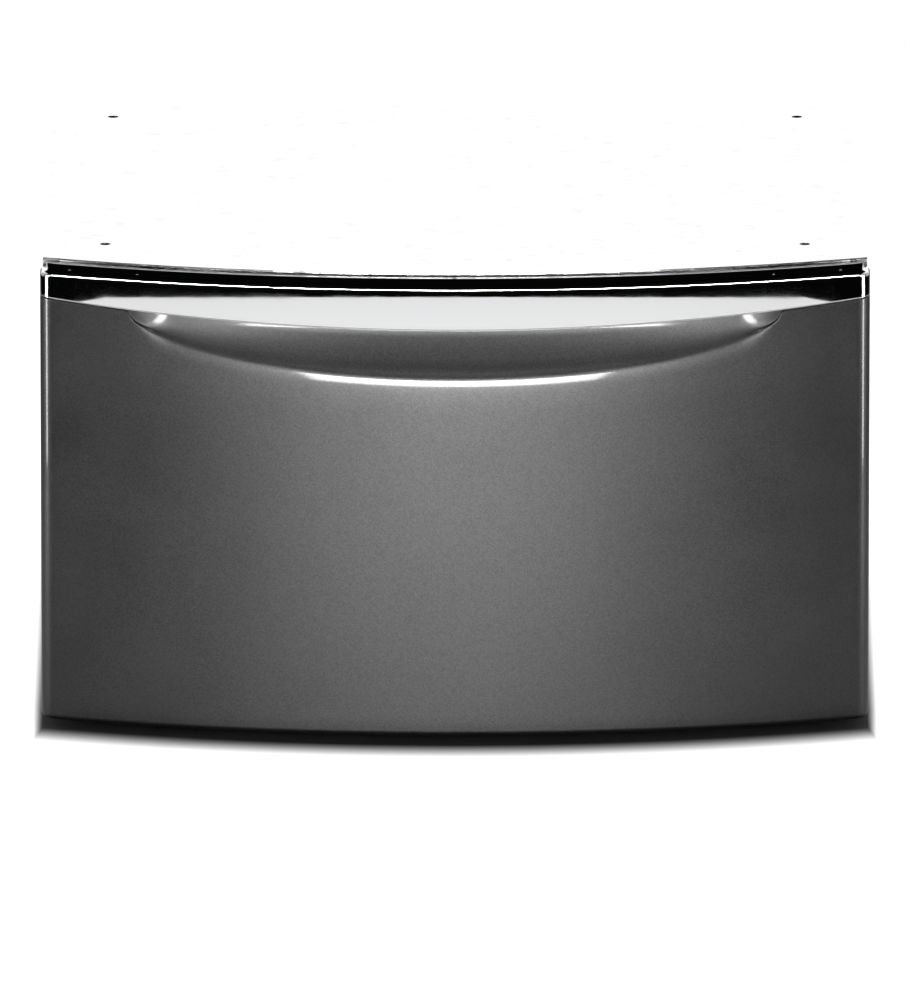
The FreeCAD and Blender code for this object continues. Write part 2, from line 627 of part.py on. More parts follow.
def make_slides():
    """Three-member telescopic slide on each side, on a bracket that fills the gap to the side."""
    race = "(member_sheet + race_gap)"
    middle_half = f"(outer_half - {race})"
    inner_half = f"(outer_half - 2 * {race})"
    left_and_right(member("slide_outer", SLIDE_BACK, f"({SLIDE_BACK} + outer_wide)",
                          "outer_half"), "slide_outer")
    middle_web = f"({SLIDE_BACK} + middle_back)"
    left_and_right(member("slide_middle", middle_web, f"({middle_web} + middle_wide)",
                          middle_half), "slide_middle")
    left_and_right(member("slide_inner", "(-box_half_width)", "(-box_half_width - inner_wide)",
                          inner_half), "slide_inner")
    cage_middle = f"{SLIDE_END} - slide_length / 2 - cage_forward"
    ball_cage("ball_cage_outer", middle_half, f"{SLIDE_BACK} + cage_outer_place", cage_middle)
    ball_cage("ball_cage_inner", inner_half, "-box_half_width - cage_inner_place", cage_middle)
    outer, tip = f"(-{SIDE} + sheet + fit_gap)", f"({SLIDE_BACK} - fit_gap)"
    low, high = "(slide_height - bracket_half)", "(slide_height + bracket_half)"
    bracket = profile("slide_bracket", "XZ", SLIDE_END, "slide_length", [
        (outer, low), (f"{outer} + rail_sheet", low),
        (f"{outer} + rail_sheet", f"{low} + bracket_step"), (tip, f"{low} + bracket_step"),
        (tip, f"{high} - bracket_step"), (f"{outer} + rail_sheet", f"{high} - bracket_step"),
        (f"{outer} + rail_sheet", high), (outer, high), (outer, f"{high} - bracket_step - rail_sheet"),
        (f"{tip} - rail_sheet", f"{high} - bracket_step - rail_sheet"),
        (f"{tip} - rail_sheet", f"{low} + bracket_step + rail_sheet"),
        (outer, f"{low} + bracket_step + rail_sheet")])
    left_and_right(bracket, "slide_bracket")
    rivet = turned("rivet", [
        ("0", "0"), ("rivet_head_radius", "0"), ("rivet_head_radius", "rivet_head"),
        ("rivet_radius", "rivet_head"), ("rivet_radius", "rivet_length"), ("0", "rivet_length")])
    height = amount("slide_height")
    along = [amount("slide_front") + reach for reach in RIVETS_ALONG]
    inner = amount("box_half_width + member_sheet + rivet_head")
    group("slide_rivets_drawer", rivet,
          [((side * inner, y, height), (-side, 0, 0)) for side in (-1, 1) for y in along])
    outer = -amount(f"{SLIDE_BACK} + member_sheet + rivet_head")
    group("slide_rivets_cabinet", rivet,
          [((side * outer, y, height), (side, 0, 0)) for side in (-1, 1) for y in along])


def make_levers():
    """Release lever in the hollow of each inner member, and the pin that it turns on."""
    back = "(-box_half_width - member_sheet - fit_gap)"
    lever = new_body("release_lever")
    outline = new_sketch(lever, "YZ", f"{back} - lever_thick")
    polygon(outline, rectangle("lever_place - lever_half", "lever_place + lever_length",
                               "slide_height - lever_half", "slide_height + lever_half"))
    pad(lever, outline, "lever_thick")
    hole = new_sketch(lever, "YZ", back)
    circles(hole, [("lever_place", "slide_height")], "lever_pin + fit_gap")
    pocket(lever, hole, "lever_thick")
    left_and_right(lever, "release_lever")
    pin = turned("lever_pin_master", [
        ("0", "0"), ("lever_pin / 2", "0"), ("lever_pin / 2", "lever_thick + 2 * fit_gap"),
        ("lever_pin", "lever_thick + 2 * fit_gap"),
        ("lever_pin", "lever_thick + 2 * fit_gap + pin_head"),
        ("0", "lever_thick + 2 * fit_gap + pin_head")])
    x, y, z = (amount(value) for value in ("box_half_width + member_sheet", "lever_place",
                                           "slide_height"))
    group("lever_pins", pin, [((side * x, y, z), (side, 0, 0)) for side in (-1, 1)])


# ---------------------------------------------------------------- levelling feet

def make_feet():
    """Each foot: an angle bracket with a weld nut, a lock nut, a threaded stud and its pad."""
    bore = "stud_diameter / 2 + stud_fit / 2"
    nut_low = "(foot_plate - nut_height - fit_gap)"
    nut = new_body("lock_nut_master")
    outline = new_sketch(nut, "XY", "0")
    polygon(outline, hexagon("nut_flats"))
    pad(nut, outline, "nut_height")
    hole = new_sketch(nut, "XY", "nut_height")
    circles(hole, [("0", "0")], f"2 * ({bore})")
    pocket(nut, hole, "nut_height")
    nut_places = []
    for place in ("front", "rear"):
        y = f"foot_{place}"
        wall = f"(-{SIDE} + sheet + fit_gap)"
        reach = "(-foot_side + foot_plate_length / 2)"
        plate = "(foot_plate + foot_plate_thick)"
        bracket = profile("foot_bracket_" + place, "XZ", f"{y} + foot_plate_length / 2",
                          "foot_plate_length", [
                              (wall, "foot_plate"), (reach, "foot_plate"), (reach, plate),
                              (f"{wall} + foot_plate_thick", plate),
                              (f"{wall} + foot_plate_thick", "foot_plate + foot_wall"),
                              (wall, "foot_plate + foot_wall")])
        boss = new_sketch(bracket, "XY", plate)
        circles(boss, [("-foot_side", y)], "weld_nut")
        pad(bracket, boss, "weld_nut_height")
        hole = new_sketch(bracket, "XY", f"{plate} + weld_nut_height")
        circles(hole, [("-foot_side", y)], f"2 * ({bore})")
        pocket(bracket, hole, "foot_plate_thick + weld_nut_height")
        left_and_right(bracket, f"foot_bracket_{place}")
        rim = "pad_diameter / 2"
        foot = turned("foot_pad_" + place, [
            ("0", "0"), (f"{rim} - pad_chamfer", "0"), (rim, "pad_chamfer"),
            (rim, "pad_height - pad_shoulder"), (f"{rim} - pad_slope", "pad_height"),
            (bore, "pad_height"), (bore, "pad_height / 2"), ("0", "pad_height / 2")],
            x="-foot_side", y=y)
        left_and_right(foot, f"foot_pad_{place}")
        stud = turned("foot_stud_" + place, [
            ("0", "pad_height / 2 + fit_gap"), ("stud_diameter / 2", "pad_height / 2 + fit_gap"),
            ("stud_diameter / 2", "stud_top - stud_chamfer"),
            ("stud_diameter / 2 - stud_chamfer", "stud_top"),
            ("0", "stud_top")], x="-foot_side", y=y)
        collar = new_sketch(stud, "XY", "pad_height + fit_gap")
        polygon(collar, hexagon("collar_flats"))
        pad(stud, collar, "collar_height")
        left_and_right(stud, f"foot_stud_{place}")
        nut_places += [((side * amount("foot_side"), amount(y), amount(nut_low)), (0, 0, 1))
                       for side in (-1, 1)]
    group("foot_lock_nuts", nut, nut_places)


# ---------------------------------------------------------------- build, check and write

make_front_panel()
make_trim()
pan_screw = make_front_structure()
make_side_panels()
make_rear_panel(pan_screw)
make_deck()
make_rails()
make_drawer_box()
make_divider()
make_slides()
make_levers()
make_feet()
doc.recompute()

faults = [f"{thing.Label}: {thing.State}" for thing in doc.Objects
          if {"Invalid", "Error"} & set(thing.State)]
faults += [f"{thing.Label}: no valid shape" for thing in subparts
           if thing.Shape.isNull() or not thing.Shape.isValid()]
if faults:
    raise RuntimeError("; ".join(faults))

os.makedirs("parts", exist_ok=True)
for thing in subparts:
    thing.Shape.exportStep(f"parts/{thing.Label}.step")
whole = Part.makeCompound([thing.Shape for thing in subparts]).optimalBoundingBox(True, False)
print(f"{len(subparts)} sub-parts, {whole.XLength:.1f} x {whole.YLength:.1f} x {whole.ZLength:.1f}")
print(f"x {whole.XMin:.2f} {whole.XMax:.2f}  y {whole.YMin:.2f} {whole.YMax:.2f}"
      f"  z {whole.ZMin:.2f} {whole.ZMax:.2f}")
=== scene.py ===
# %% [markdown]
# A laundry pedestal is a low steel drawer cabinet that a front load washing machine stands on.
# The imported CAD model comes first. It holds every real part, in metres, with +Z up and the drawer
# front looking along -Y. Its box is kept before anything is added.

# %% Load the frame
import json
import math

import bpy
import numpy as np
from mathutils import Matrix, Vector


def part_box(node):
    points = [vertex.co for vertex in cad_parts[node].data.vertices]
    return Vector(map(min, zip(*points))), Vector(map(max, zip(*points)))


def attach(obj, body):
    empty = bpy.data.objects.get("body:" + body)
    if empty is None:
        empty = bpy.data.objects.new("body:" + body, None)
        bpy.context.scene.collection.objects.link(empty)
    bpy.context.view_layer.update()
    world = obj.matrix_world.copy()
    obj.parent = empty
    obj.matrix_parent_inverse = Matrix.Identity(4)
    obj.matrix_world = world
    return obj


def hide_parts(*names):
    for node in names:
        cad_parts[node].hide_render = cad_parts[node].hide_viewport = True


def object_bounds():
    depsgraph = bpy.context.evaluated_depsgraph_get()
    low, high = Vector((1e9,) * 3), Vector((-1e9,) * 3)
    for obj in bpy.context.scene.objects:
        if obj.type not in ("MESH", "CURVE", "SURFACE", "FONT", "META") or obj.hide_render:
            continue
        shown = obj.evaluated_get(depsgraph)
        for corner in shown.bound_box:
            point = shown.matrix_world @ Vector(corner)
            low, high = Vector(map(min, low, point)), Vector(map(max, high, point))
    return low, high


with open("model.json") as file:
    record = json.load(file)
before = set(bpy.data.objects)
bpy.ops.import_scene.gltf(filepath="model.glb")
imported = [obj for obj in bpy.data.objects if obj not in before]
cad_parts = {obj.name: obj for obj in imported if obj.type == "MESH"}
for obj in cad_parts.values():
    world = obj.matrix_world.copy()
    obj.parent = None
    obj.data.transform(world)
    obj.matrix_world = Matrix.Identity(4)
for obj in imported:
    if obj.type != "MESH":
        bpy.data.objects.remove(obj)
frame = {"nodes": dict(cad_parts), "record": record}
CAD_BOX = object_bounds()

MM = 0.001
nodes = frame["nodes"]
low, high = (Vector(corner) for corner in CAD_BOX)
panel_low, panel_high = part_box("drawer_front_panel")
trim_low, trim_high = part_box("handle_trim")

# %% [markdown]
# The camera is set before any looks are made, because every later choice is judged through it.
# A product view like this one is taken from far away with a long lens, so upright edges stay
# upright, and from a little above, so the top edge of the bowed front sags in the middle. A short
# lens from nearby would show more of the sides, but it would bend the proportions.

# %% Camera
VIEW_TILT = math.radians(13.6)
VIEW_DISTANCE = 20.0
VIEW_HEIGHT = 0.8264
AIM_INSIDE, AIM_LIFT = 26.5 * MM, 3.4 * MM

front_middle = (panel_low.z + trim_high.z) / 2
aim = Vector((0.0, panel_low.y + AIM_INSIDE, front_middle + AIM_LIFT))
away = Vector((0.0, -math.cos(VIEW_TILT), math.sin(VIEW_TILT)))

camera = bpy.data.objects.new("camera", bpy.data.cameras.new("camera"))
camera.data.sensor_width = 36.0
camera.data.lens = camera.data.sensor_width * VIEW_DISTANCE / VIEW_HEIGHT
camera.data.clip_end = 5 * VIEW_DISTANCE
camera.location = aim + away * VIEW_DISTANCE
camera.rotation_mode = "QUATERNION"
camera.rotation_quaternion = away.to_track_quat("Z", "Y")
bpy.context.scene.collection.objects.link(camera)
bpy.context.scene.camera = camera
bpy.context.scene.view_settings.view_transform = "Standard"
print(f"lens {camera.data.lens:.0f} mm, aimed at z = {aim.z:.3f}")

# %% [markdown]
# Every finish is built from nodes. Writing each node out takes four or five lines, so these short
# helpers place a node and feed its inputs, with either a number or another node's output.

# %% Helpers for node trees


def feed(tree, value, socket):
    """Links another node's output to the socket, or sets the socket to a number or a colour."""
    if isinstance(value, bpy.types.NodeSocket):
        tree.links.new(value, socket)
    else:
        socket.default_value = value


def wire(tree, node, **values):
    """Feeds a node's sockets by name, with _ in place of a space."""
    for name, value in values.items():
        feed(tree, value, node.inputs[name.replace("_", " ")])
    return node


def place(tree, kind, **values):
    """Adds a shader node of this kind and feeds its inputs."""
    return wire(tree, tree.nodes.new("ShaderNode" + kind), **values)


def maths(tree, operation, *values):
    """Adds a Math node fed with outputs or numbers, in order, and returns its output."""
    node = tree.nodes.new("ShaderNodeMath")
    node.operation = operation
    for value, socket in zip(values, node.inputs):
        feed(tree, value, socket)
    return node.outputs[0]


def mix_colours(tree, factor, first, second):
    """First colour where the factor is 0, second where it is 1."""
    node = tree.nodes.new("ShaderNodeMix")
    node.data_type = "RGBA"
    return wire(tree, node, Factor=factor, A=first, B=second).outputs["Result"]


def ramp(tree, value, start, end, first, last):
    """Smooth change from first to last while the value goes from start to end."""
    node = tree.nodes.new("ShaderNodeMapRange")
    node.interpolation_type = "SMOOTHSTEP"
    return wire(tree, node, Value=value, From_Min=start, From_Max=end,
                To_Min=first, To_Max=last).outputs[0]


def grey(level, tint=0.0):
    """Grey with alpha 1, turned slightly towards blue by the tint."""
    return (level, level * (1 + tint / 2), level * (1 + tint), 1)


def new_material(name, **shader_values):
    """A material that holds only its Principled shader and its output."""
    material = bpy.data.materials.new(name)
    material.use_nodes = True
    tree = material.node_tree
    tree.nodes.clear()
    shader = place(tree, "BsdfPrincipled", **shader_values)
    place(tree, "OutputMaterial", Surface=shader.outputs["BSDF"])
    return material, tree, shader


print("node helpers ready")

# %% [markdown]
# Every new curved surface here is a grid of points worked out with numpy, in rows and columns.
# Two helpers turn such a grid into a mesh: one numbers the faces between neighbours, and the
# other makes the object from points and faces.

# %% Helpers for surfaces


def quads_of(grid, first=0, closed_rows=False, caps=False):
    """Faces over a grid of points whose numbers start at first. closed_rows joins the last row
    to the first, and caps closes both ends of such a tube with one face each."""
    rows, columns, _ = grid.shape
    row = np.arange(rows if closed_rows else rows - 1)[:, None]
    column = np.arange(columns - 1)[None, :]
    above = (row + 1) % rows
    quads = np.dstack([row * columns + column, row * columns + column + 1,
                       above * columns + column + 1, above * columns + column])
    faces = (quads.reshape(-1, 4) + first).tolist()
    if caps:
        faces.append((np.arange(rows)[::-1] * columns + first).tolist())
        faces.append((np.arange(rows) * columns + columns - 1 + first).tolist())
    return faces


def mesh_object(name, points, faces):
    """Smooth-shaded object from stacked points and a list of faces."""
    mesh = bpy.data.meshes.new(name)
    mesh.from_pydata(points.tolist(), [], faces)
    mesh.shade_smooth()
    piece = bpy.data.objects.new(name, mesh)
    bpy.context.scene.collection.objects.link(piece)
    return piece


print("surface helpers ready")

# %% [markdown]
# The floor is a table that ends in an arc about two metres out. To the camera it is plain pale;
# in reflections it is dim grey with a painted band of light in front near that far edge. Polished
# chrome mirrors the band, and the far edge draws the line between white and black in the trim.
# The table is cut off straight at the sides, which ends the white before the ends of the trim. It
# is flat, so one face with many corners is enough, and a grid would add nothing.

# %% Floor
FLOOR_RADIUS = 2.125
FLOOR_CENTRE_Y = 0.151
FLOOR_HALF = 1.26


def floor_corners(spokes=96):
    """Corners of a regular polygon round the centre, whose x is held between the cut sides."""
    turn = np.linspace(0, 2 * np.pi, spokes, endpoint=False)
    x = np.clip(FLOOR_RADIUS * np.cos(turn), -FLOOR_HALF, FLOOR_HALF)
    y = FLOOR_CENTRE_Y + FLOOR_RADIUS * np.sin(turn)
    return np.column_stack([x, y, 0 * x])


corners = floor_corners()
floor = mesh_object("floor", corners, [list(range(len(corners)))])
print(f"floor: one face with {len(corners)} corners")

# %% [markdown]
# The shadow on the floor under and right beside the cabinet is painted: the floor's colour and
# glow fade to black there, which is the soft dark line that makes an object stand on its floor.
# The gap between a floor point and the cabinet's outline gives that painted shadow: outside the
# sides and the back it is a plain distance, and in front it is measured from the bow. The far
# part of the floor in front is painted pale and glows a little, a painted band of light, because
# that is the part the chrome mirrors, and to the camera the whole floor is bright.

# %% Floor finish
HALF_WIDTH = panel_high.x
BOW_RISE = 0.060
BOW_RADIUS = HALF_WIDTH ** 2 / (2 * BOW_RISE) + BOW_RISE / 2
BOW_CENTRE_Y = panel_low.y + BOW_RADIUS
# FLOOR_DIM is the floor in reflections; FLOOR_PALE is its colour to the camera and in the painted
# band of light
FLOOR_DIM, FLOOR_PALE = grey(0.22), grey(0.86)
# the painted band of light starts RIM_START from the floor's centre and is full by RIM_END, only in
# front
RIM_START, RIM_END = 1.70, 1.88
FRONT_START, FRONT_END = low.y + 0.05, low.y - 0.10
# span of the painted shadow on the floor, from under the cabinet outwards
SHADE_START, SHADE_END = -6 * MM, 100 * MM
SIDE_FADE = 6.0
CAMERA_GLOW, RIM_GLOW = 0.60, 0.15


def distance_from(tree, across, along, centre_y):
    """Distance on the floor from the point (0, centre_y)."""
    off = maths(tree, "SUBTRACT", along, centre_y)
    square = maths(tree, "MULTIPLY_ADD", off, off, maths(tree, "MULTIPLY", across, across))
    return maths(tree, "SQRT", square)


def gap_to_cabinet(tree, across, along):
    """Largest of the distances outside the sides, the back and the bow. It is negative under the
    cabinet, and the distance from the sides counts SIDE_FADE times, to keep the painted shadow
    narrow."""
    beyond = maths(tree, "SUBTRACT", maths(tree, "ABSOLUTE", across), HALF_WIDTH)
    sides = maths(tree, "MULTIPLY", beyond, SIDE_FADE)
    rear = maths(tree, "SUBTRACT", along, high.y)
    bow = maths(tree, "SUBTRACT", distance_from(tree, across, along, BOW_CENTRE_Y), BOW_RADIUS)
    return maths(tree, "MAXIMUM", maths(tree, "MAXIMUM", sides, rear), bow)


def floor_finish():
    """Base colour and glow of the floor, with a painted band of light far out in front, both
    multiplied by a painted shadow at the cabinet.
    """
    material, tree, shader = new_material("table_with_painted_light_and_shadow", Roughness=0.75, Specular_IOR_Level=0.2,
                                          Emission_Color=grey(1.0))
    coords = place(tree, "TexCoord").outputs["Object"]
    across, along, _ = place(tree, "SeparateXYZ", Vector=coords).outputs
    seen = place(tree, "LightPath").outputs["Is Camera Ray"]
    # painted band of light: the far floor in front is made pale and given a little glow, for the
    # chrome to mirror
    rim = ramp(tree, distance_from(tree, across, along, FLOOR_CENTRE_Y), RIM_START, RIM_END, 0, 1)
    front = ramp(tree, along, FRONT_START, FRONT_END, 0, 1)
    bright = maths(tree, "MAXIMUM", maths(tree, "MULTIPLY", rim, front), seen)
    # painted shadow: the floor's colour and glow are scaled down to black near the cabinet
    shade = ramp(tree, gap_to_cabinet(tree, across, along), SHADE_START, SHADE_END, 0, 1)
    shaded = tree.nodes.new("ShaderNodeVectorMath")
    shaded.operation = "SCALE"
    wire(tree, shaded, Scale=shade, Vector=mix_colours(tree, bright, FLOOR_DIM, FLOOR_PALE))
    glow = maths(tree, "MULTIPLY_ADD", seen, CAMERA_GLOW, maths(tree, "MULTIPLY", rim, RIM_GLOW))
    wire(tree, shader, Base_Color=shaded.outputs[0],
         Emission_Strength=maths(tree, "MULTIPLY", glow, shade))
    return material


floor.data.materials.append(floor_finish())
print("floor finish:", floor.data.materials[0].name)

# %% [markdown]
# Chrome and clear lacquer show whatever stands around them, so the surround is split. The camera
# sees plain white. Reflections see a dark room, with a pale wall behind the object that the top
# deck mirrors. The wall reaches higher and gets dimmer towards the sides, so the deck reads as
# grey metal when it is looked at from a corner.

# %% Surround
ROOM_DARK, WALL_PALE = (0.0015, 0.0015, 0.0016, 1), (1.25, 1.25, 1.26, 1)
WALL_TOP, WALL_FADE = 0.30, 0.07
WALL_LIFT_SPAN, WALL_SIDE_LIFT = (0.15, 0.50), 0.42
WALL_DIM_SPAN, WALL_SIDE_DIM = (0.30, 0.60), 0.38
WALL_BACK_SPAN, HORIZON_SPAN = (0.10, 0.50), (-0.02, 0.02)


def surround():
    """The direction of a ray, as a unit vector, gives how far it points up, behind and aside."""
    world = bpy.data.worlds.new("surround")
    world.use_nodes = True
    tree = world.node_tree
    tree.nodes.clear()
    direction = place(tree, "TexCoord").outputs["Generated"]
    across, along, up = place(tree, "SeparateXYZ", Vector=direction).outputs
    aside = maths(tree, "ABSOLUTE", across)
    level = maths(tree, "SUBTRACT", up, ramp(tree, aside, *WALL_LIFT_SPAN, 0, WALL_SIDE_LIFT))
    below_top = ramp(tree, level, WALL_TOP, WALL_TOP + WALL_FADE, 1, 0)
    behind = ramp(tree, along, *WALL_BACK_SPAN, 0, 1)
    above_floor = ramp(tree, up, *HORIZON_SPAN, 0, 1)
    dimmed = ramp(tree, aside, *WALL_DIM_SPAN, 1, WALL_SIDE_DIM)
    wall = maths(tree, "MULTIPLY", maths(tree, "MULTIPLY", below_top, behind),
                 maths(tree, "MULTIPLY", above_floor, dimmed))
    room = mix_colours(tree, wall, ROOM_DARK, WALL_PALE)
    seen = place(tree, "LightPath").outputs["Is Camera Ray"]
    background = place(tree, "Background", Color=mix_colours(tree, seen, room, grey(1.0)))
    place(tree, "OutputWorld", Surface=background.outputs[0])
    return world


bpy.context.scene.world = surround()
print("surround:", len(bpy.context.scene.world.node_tree.nodes), "nodes")

# %% [markdown]
# The lights are soft boxes. A long narrow one overhead lights the floor and draws the bright line
# along the rounded top edge of the chrome. A small low one in front makes the glow that fades
# from the middle of the bowed front to its ends: metallic lacquer is brightest where it mirrors
# the lamp, and the bow turns away from it. Two narrow upright ones draw the streak on each corner.

# %% Lights


def soft_box(name, place_at, target, size, power, spread=180.0):
    """Rectangular light of size (across, up) metres, facing the target."""
    light = bpy.data.lights.new(name, "AREA")
    light.shape = "RECTANGLE"
    light.size, light.size_y = size
    light.energy = power
    light.spread = math.radians(spread)
    lamp = bpy.data.objects.new(name, light)
    lamp.location = place_at
    facing = Vector(target) - Vector(place_at)
    lamp.rotation_mode = "QUATERNION"
    lamp.rotation_quaternion = facing.to_track_quat("-Z", "Y")
    lamp.visible_camera = False
    bpy.context.scene.collection.objects.link(lamp)
    return lamp


soft_box("overhead_box", (0, -0.75, 2.4), (0, -0.45, 0), (3.6, 0.16), 85)
front_box = soft_box("front_box", (0, -1.75, 0.40), (0, -0.33, 0.2), (0.9, 0.4), 11.5, spread=60)
for side, hand in ((-1, "left"), (1, "right")):
    soft_box(f"side_box_{hand}", (side * 1.05, -0.37, 0.45), (side * 0.3, -0.25, 0.2),
             (0.16, 0.9), 15)

# %% [markdown]
# Both front pieces follow one outline seen from above: a short straight side, a small round
# corner, the wide bow, and the same again. It could be drawn as a curve object, but worked out
# once as points and outward directions it also gives every piece that is set back from it.

# %% Outline of the front, seen from above
RETURN_Y = panel_high.y
CORNER = 16 * MM
EDGE, TRIM_DEPTH = 5 * MM, 30 * MM


def plan_outline(along_side=8, along_corner=18, along_bow=280):
    """Points and outward directions of the outline, left to right. The corner circle touches
    the straight side and the bow, so its centre is one corner radius inside both."""
    corner_x = HALF_WIDTH - CORNER
    corner_y = BOW_CENTRE_Y - math.sqrt((BOW_RADIUS - CORNER) ** 2 - corner_x ** 2)
    lean = math.asin(corner_x / (BOW_RADIUS - CORNER))
    side_y = np.linspace(RETURN_Y, corner_y, along_side, endpoint=False)
    turn = np.linspace(0, math.pi / 2 - lean, along_corner, endpoint=False)
    swing = np.linspace(lean, -lean, along_bow)
    straight = np.column_stack([np.full(along_side, HALF_WIDTH), side_y])
    straight_out = np.tile([1.0, 0.0], (along_side, 1))
    corner_out = np.column_stack([np.cos(turn), -np.sin(turn)])
    corner = [corner_x, corner_y] + CORNER * corner_out
    bow_out = np.column_stack([np.sin(swing), -np.cos(swing)])
    bow = [0, BOW_CENTRE_Y] + BOW_RADIUS * bow_out
    flip = np.array([-1.0, 1.0])
    right, right_out = np.vstack([straight, corner]), np.vstack([straight_out, corner_out])
    points = np.vstack([right, bow, right[::-1] * flip])[::-1]
    outward = np.vstack([right_out, bow_out, right_out[::-1] * flip])[::-1]
    return points, outward


outline, outward = plan_outline()
print(f"outline of {len(outline)} points, {np.ptp(outline[:, 0]):.3f} m wide")

# %% [markdown]
# A profile carried along the outline gives a surface. A profile says how far each of its points
# lies inside the outline and how high, and it may say so anew for every point of the outline,
# because both the scoop and the trim change shape on their way across the front.

# %% Carrying a profile along the outline


def carried(inset, height, rear=None):
    """Grid of points: column by column the outline's point, moved inwards by inset and lifted
    to height. inset and height have one row per point of the profile. With a rear line, what
    goes in further than EDGE moves towards that line instead and meets it at TRIM_DEPTH."""
    near = inset if rear is None else np.minimum(inset, EDGE)
    across = outline[None, :, :] - near[:, :, None] * outward[None, :, :]
    if rear is not None:
        share = np.clip((inset - EDGE) / (TRIM_DEPTH - EDGE), 0, 1)[:, :, None]
        across = across + share * (rear[None, :, :] - (outline - EDGE * outward)[None, :, :])
    return np.dstack([across, height])


def level(values):
    """Profile values that stay the same all along the outline."""
    return np.outer(values, np.ones(len(outline)))


TRIM_MIDDLE, TRIM_TOP = trim_low.z, trim_high.z
TRIM_DIP = 15.5 * MM
DIP_RADIUS = HALF_WIDTH ** 2 / (2 * TRIM_DIP) + TRIM_DIP / 2


def trim_edge(x):
    """Height of the trim's lower edge: a wide arc that is lowest in the middle."""
    return TRIM_MIDDLE + DIP_RADIUS - np.sqrt(DIP_RADIUS ** 2 - x ** 2)


print(f"lower edge of the trim: {trim_edge(0):.4f} to {trim_edge(HALF_WIDTH):.4f}")

# %% [markdown]
# Soft pressed shapes in sheet steel have no sharp changes of curvature. A B-spline gives such a
# line from a few control points, and it is a plain matrix product, so all columns of the sheet
# are worked out together.

# %% Smooth lines through a few points


def spline_rows(control, count):
    """Clamped cubic B-spline through stacked control points, by de Boor's basis: control has
    shape (points, columns), and the result has count rows."""
    degree = 3
    amount = len(control)
    knots = np.concatenate([np.zeros(degree), np.linspace(0, 1, amount - degree + 1),
                            np.ones(degree)])
    at = np.linspace(0, 1 - 1e-9, count)
    basis = ((knots[:-1] <= at[:, None]) & (at[:, None] < knots[1:])).astype(float)
    for order in range(1, degree + 1):
        span = basis.shape[1] - 1
        near = knots[order:order + span] - knots[:span]
        far = knots[order + 1:order + 1 + span] - knots[1:1 + span]
        rising = np.divide(at[:, None] - knots[:span], near, where=near > 0,
                           out=np.zeros((count, span)))
        falling = np.divide(knots[order + 1:order + 1 + span] - at[:, None], far,
                            where=far > 0, out=np.zeros((count, span)))
        basis = rising * basis[:, :-1] + falling * basis[:, 1:]
    return basis @ control


def smooth_step(value):
    """0 below 0, 1 above 1, and an even S between."""
    value = np.clip(value, 0, 1)
    return value * value * (3 - 2 * value)


print("a spline of 4 rows:", spline_rows(np.eye(4), 4).shape)

# %% [markdown]
# The finger scoop is where the painted sheet dives in behind the chrome. Its lip is half an
# ellipse in front view, and above the lip the sheet slopes in and up until the trim hides it.
# Away from the scoop the same sheet only steps back by the thickness of the chrome. Three
# sections say this: a plain step, a shallow press, and the full scoop. Each column of the sheet
# slides between them by how deep the scoop is there.

# %% Sections of the painted front
SCOOP_HALF, SCOOP_DROP, SCOOP_RISE = 270 * MM, 48 * MM, 10 * MM
SCOOP_FADE, SCOOP_FULLNESS = 35 * MM, 1.1
UNDER_TRIM = 0.4 * MM
SECTION_ROWS = 90
PANEL_TOP = 386.2 * MM
# control points of a section, from the flat face up: (inset, height over the lip)
PLAIN_STEP = np.array([
    (0, -45), (0, -36), (0, -24), (0, -13), (0, -4), (0, -1),
    (0, -0.2), (2.7, -0.2), (2.7, 0.4), (2.7, 2), (2.7, 8), (2.7, 16)]) * MM
SHALLOW_PRESS = np.array([
    (0, -45), (0, -34), (0.1, -22), (0.3, -13), (0.8, -7), (1.6, -2.5),
    (2.8, 0.6), (4.0, 3), (5.0, 6), (5.5, 9), (5.5, 14), (5.5, 22)]) * MM
FULL_SCOOP = np.array([
    (0, -45), (0, -34), (0.05, -22), (0.3, -12), (0.7, -6.5), (1.3, -2.8),
    (2.6, -0.4), (5.5, 3), (9, 9.5), (13, 18), (17.5, 28), (22, 40)]) * MM


def scoop_sections():
    """Inset and height of every row and column of the upper sheet. The lip is the ellipse, or
    the trim's edge where that is lower, and the last row is the top edge behind the trim."""
    x = np.abs(outline[:, 0])
    inside = 1 - np.clip(x / SCOOP_HALF, 0, 1) ** 2
    ellipse = TRIM_MIDDLE + SCOOP_RISE - SCOOP_DROP * np.sqrt(inside)
    edge = trim_edge(x) - UNDER_TRIM
    lip = np.where(x < SCOOP_HALF, np.minimum(ellipse, edge), edge)
    depth = (inside ** SCOOP_FULLNESS)[None, :, None]
    shown = smooth_step((SCOOP_HALF - x) / SCOOP_FADE)[None, :, None]
    step, press, scoop = (part[:, None, :] for part in (PLAIN_STEP, SHALLOW_PRESS, FULL_SCOOP))
    mixed = step + shown * (press + depth * (scoop - press) - step)
    inset = np.vstack([mixed[:, :, 0], mixed[-1:, :, 0]])
    height = np.vstack([lip + mixed[:, :, 1], level([PANEL_TOP])])
    return spline_rows(inset, SECTION_ROWS), spline_rows(height, SECTION_ROWS)


upper_inset, upper_height = scoop_sections()
print(f"scoop: {upper_inset.max() / MM:.1f} mm deep, lip down to {upper_height[0].min():.4f}")

# %% [markdown]
# Below the scoop the front is a plain bowed face that rolls under at its lower edge and ends in
# a short flange. On top, a flat strip closes the front behind the trim. The sheet is made as one
# open surface and gets its thickness from a Solidify modifier, as real sheet has one everywhere.

# %% Painted drawer front
ROLL = 5 * MM
FLANGE_INSETS = (15 * MM, 11.5 * MM)
SHEET = 1.2 * MM
STEP_DEPTH = PLAIN_STEP[-1, 0]


